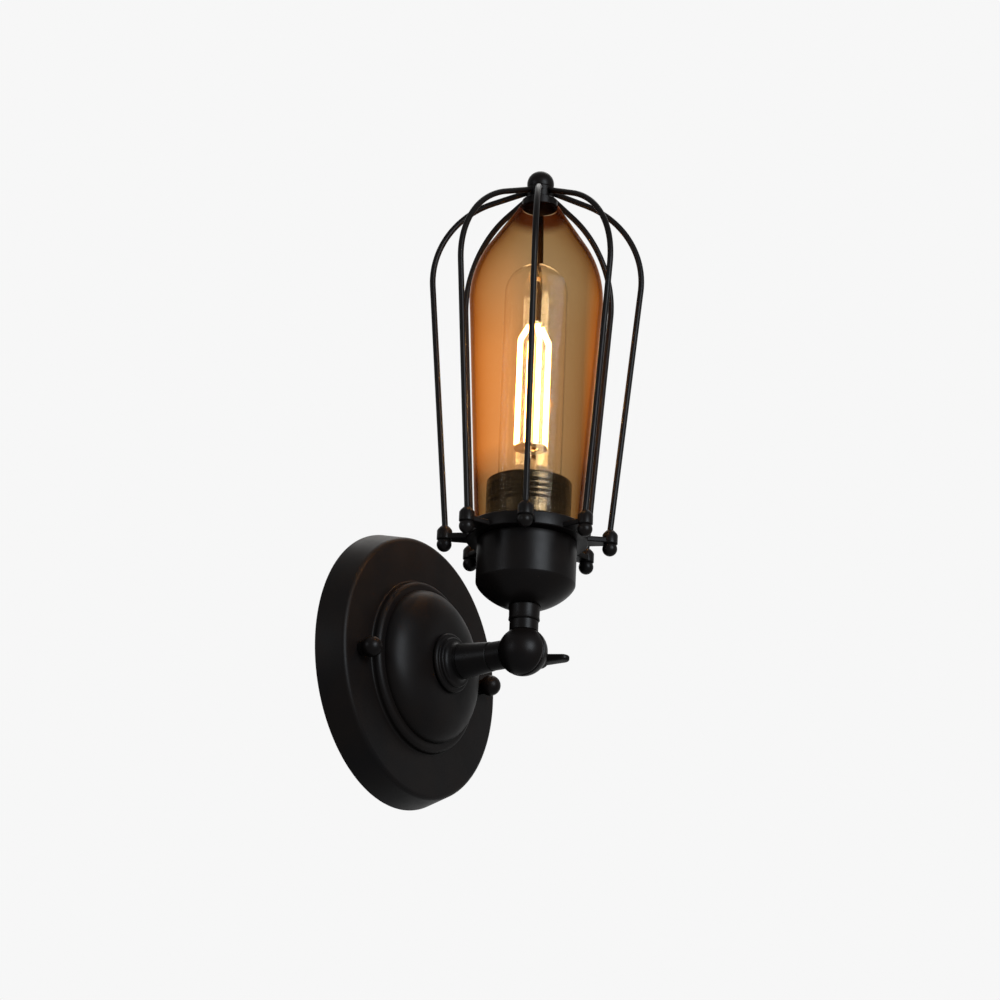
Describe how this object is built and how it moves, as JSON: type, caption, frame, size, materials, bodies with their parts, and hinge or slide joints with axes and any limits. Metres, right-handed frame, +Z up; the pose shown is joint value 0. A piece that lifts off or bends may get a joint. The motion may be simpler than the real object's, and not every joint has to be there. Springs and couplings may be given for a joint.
{
  "type": "cage wall light",
  "caption": "Wall light with a round plate, a clamped ball knuckle, a lampholder with a bulb, an amber glass and a wire cage round it.",
  "frame": {"origin": "middle of the plate's back, on the wall", "axes": "+Z up the wall and along the cage, +Y into the wall, +X along the knuckle's clamping screw towards its wings"},
  "size_m": [0.13, 0.1204, 0.3047],
  "materials": {
    "black_metal": "satin",
    "zinc_steel": "satin",
    "brass": "satin",
    "solder": "satin",
    "white_plastic": "matte",
    "ceramic": "glazed",
    "fibre": "matte",
    "lead_insulation": "satin",
    "earth_insulation": "satin",
    "amber_glass": "clear",
    "clear_glass": "clear",
    "black_insulator": "gloss",
    "filament": "matte",
    "support_wire": "satin"
  },
  "bodies": {
    "wall_part": {"wall_bracket": "zinc_steel", "stud_strap": "zinc_steel", "strap_rivet": "zinc_steel", "bracket_studs": "zinc_steel", "stud_nuts": "zinc_steel", "earth_screw": "brass", "terminal_block": "white_plastic", "terminal_block_screws": "brass", "backplate": "black_metal", "ball_nuts": "black_metal", "arm_collar": "black_metal", "arm_tube": "black_metal", "arm_washer": "zinc_steel", "arm_lock_nut": "zinc_steel", "knuckle_base": "black_metal", "friction_washer": "fibre", "supply_leads": "lead_insulation", "earth_lead": "earth_insulation"},
    "wing_screw": {"wing_screw": "black_metal", "spring_washer": "zinc_steel"},
    "head": {"knuckle_head": "black_metal", "neck_collar": "black_metal", "cup_nipple": "zinc_steel", "cup_lock_nut": "zinc_steel", "holder_cup": "black_metal", "holder_insert": "ceramic", "screw_shell": "brass", "centre_contact": "brass", "holder_terminals": "brass", "holder_sleeve": "black_metal", "shade_ring": "black_metal", "gallery_ring": "black_metal", "cage_wire_1": "black_metal", "cage_wire_2": "black_metal", "cage_wire_3": "black_metal", "cage_wire_4": "black_metal", "cage_wire_5": "black_metal", "cage_wire_6": "black_metal", "cage_wire_7": "black_metal", "cage_wire_8": "black_metal", "wire_nuts": "black_metal", "cage_hub": "black_metal", "finial": "black_metal", "glass_shade": "amber_glass", "holder_leads": "lead_insulation"},
    "bulb": {"bulb_envelope": "clear_glass", "bulb_cap": "brass", "bulb_insulator": "black_insulator", "bulb_tip": "solder", "bulb_stem": "clear_glass", "filaments": "filament", "filament_wires": "support_wire"}
  },
  "joints": [
    {"name": "head_tilt", "type": "hinge", "parent": "wall_part", "child": "head", "pos_m": [0, -0.071, 0], "axis": [1, 0, 0], "range_deg": [-5, 185]},
    {"name": "wing_screw_turn", "type": "hinge", "parent": "wall_part", "child": "wing_screw", "pos_m": [0.0144, -0.071, 0], "axis": [1, 0, 0], "range_deg": [0, 360]},
    {"name": "bulb_turn", "type": "hinge", "parent": "head", "child": "bulb", "pos_m": [0, -0.071, 0.09], "axis": [0, 0, 1], "range_deg": [0, 360]}
  ]
}
